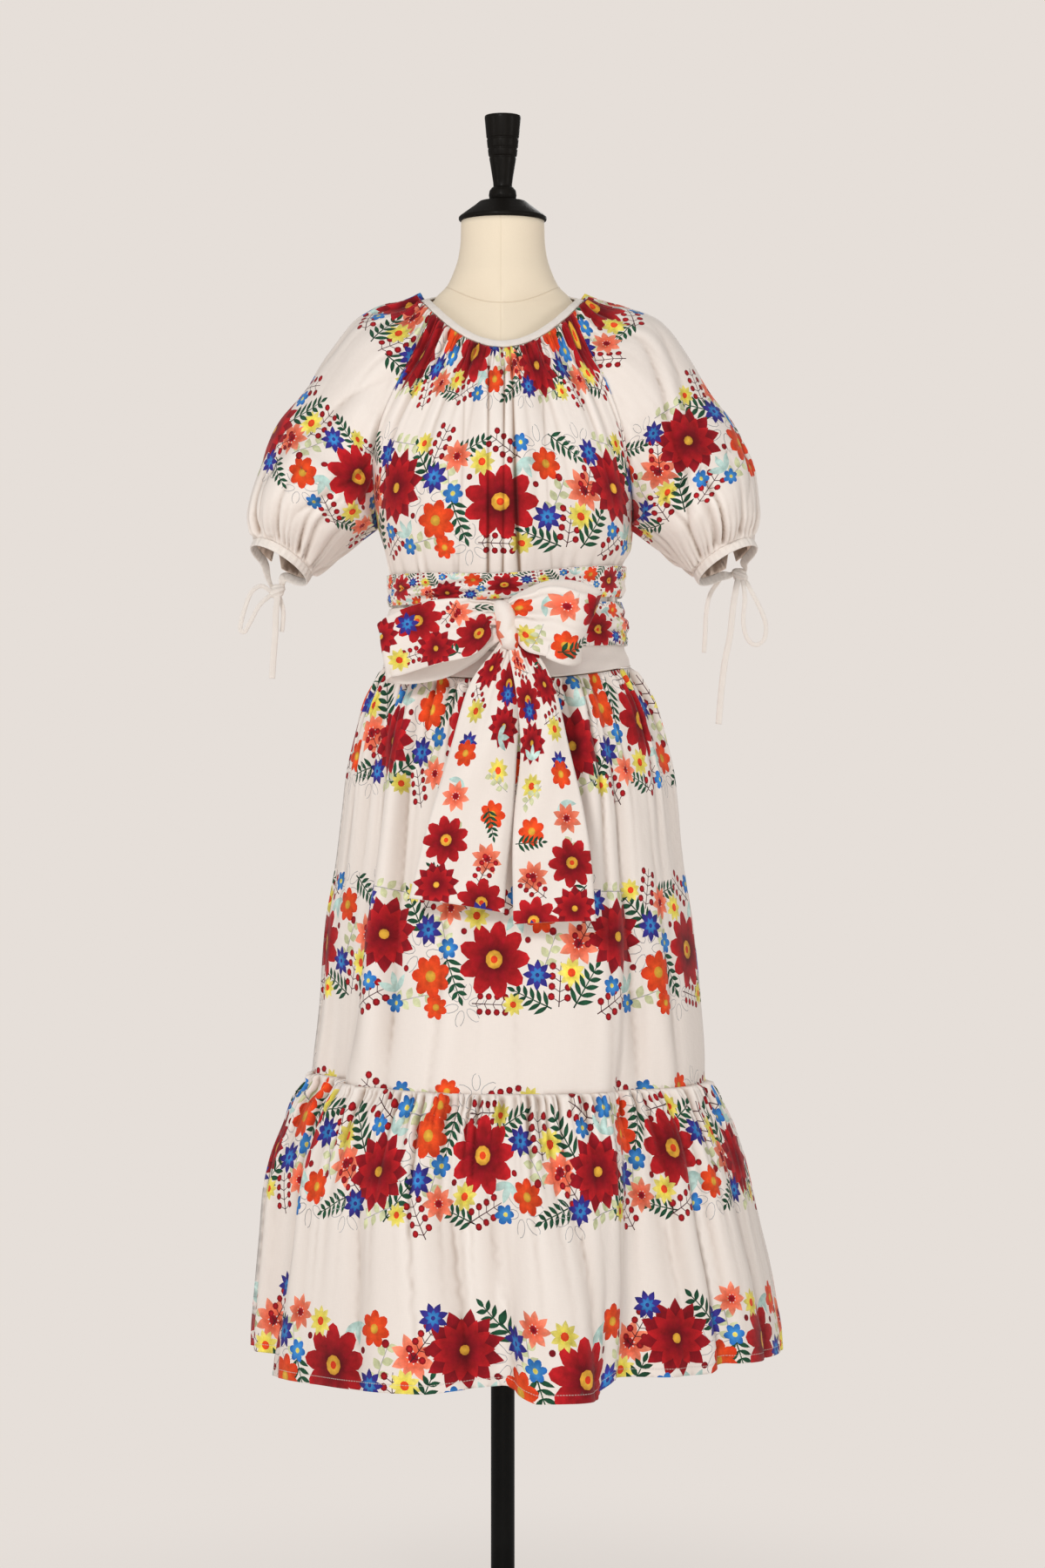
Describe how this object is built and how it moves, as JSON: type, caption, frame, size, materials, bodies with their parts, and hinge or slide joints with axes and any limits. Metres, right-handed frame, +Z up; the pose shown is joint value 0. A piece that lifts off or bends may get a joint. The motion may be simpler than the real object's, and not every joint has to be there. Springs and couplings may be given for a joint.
{
  "type": "tiered muumuu dress on a dress form",
  "caption": "Midi dress with raglan puff sleeves, tied cuffs, a bow-tied sash and a gathered hem flounce, on a limbless dress form with a pole and round base.",
  "frame": {"origin": "centre of the base's underside, on the floor, under the pole", "axes": "+Z up the pole, -Y out of the front of the dress, +X to the viewer's right when facing the front"},
  "size_m": [0.6087, 0.5579, 1.704],
  "materials": {
    "printed_cotton": "crisp woven cotton, cream with a dense floral print in bands",
    "cream_tape": "plain cream cotton bias tape",
    "form_cover": "stretched cream jersey over a padded form",
    "black_wood": "turned wood, black satin lacquer",
    "black_metal": "black powder coat, satin"
  },
  "bodies": {
    "root": {"bodice_front": "printed_cotton", "bodice_back": "printed_cotton", "sleeve_left": "printed_cotton", "sleeve_right": "printed_cotton", "waistband": "printed_cotton", "skirt_front": "printed_cotton", "skirt_back": "printed_cotton", "flounce_front": "printed_cotton", "flounce_back": "printed_cotton", "sash_wrap_upper": "printed_cotton", "sash_wrap_lower": "printed_cotton", "bow_knot": "printed_cotton", "bow_loop_left": "printed_cotton", "bow_loop_right": "printed_cotton", "bow_tail_left": "printed_cotton", "bow_tail_right": "printed_cotton", "neck_binding": "cream_tape", "cuff_casing_left": "cream_tape", "cuff_casing_right": "cream_tape", "tie_left_knot": "cream_tape", "tie_left_loop": "cream_tape", "tie_left_end": "cream_tape", "tie_left_strand": "cream_tape", "tie_right_knot": "cream_tape", "tie_right_loop": "cream_tape", "tie_right_long_end": "cream_tape", "tie_right_short_end": "cream_tape", "form_body": "form_cover", "form_cap": "black_wood", "form_finial": "black_wood", "stand_pole": "black_metal", "stand_base": "black_metal"}
  },
  "joints": []
}
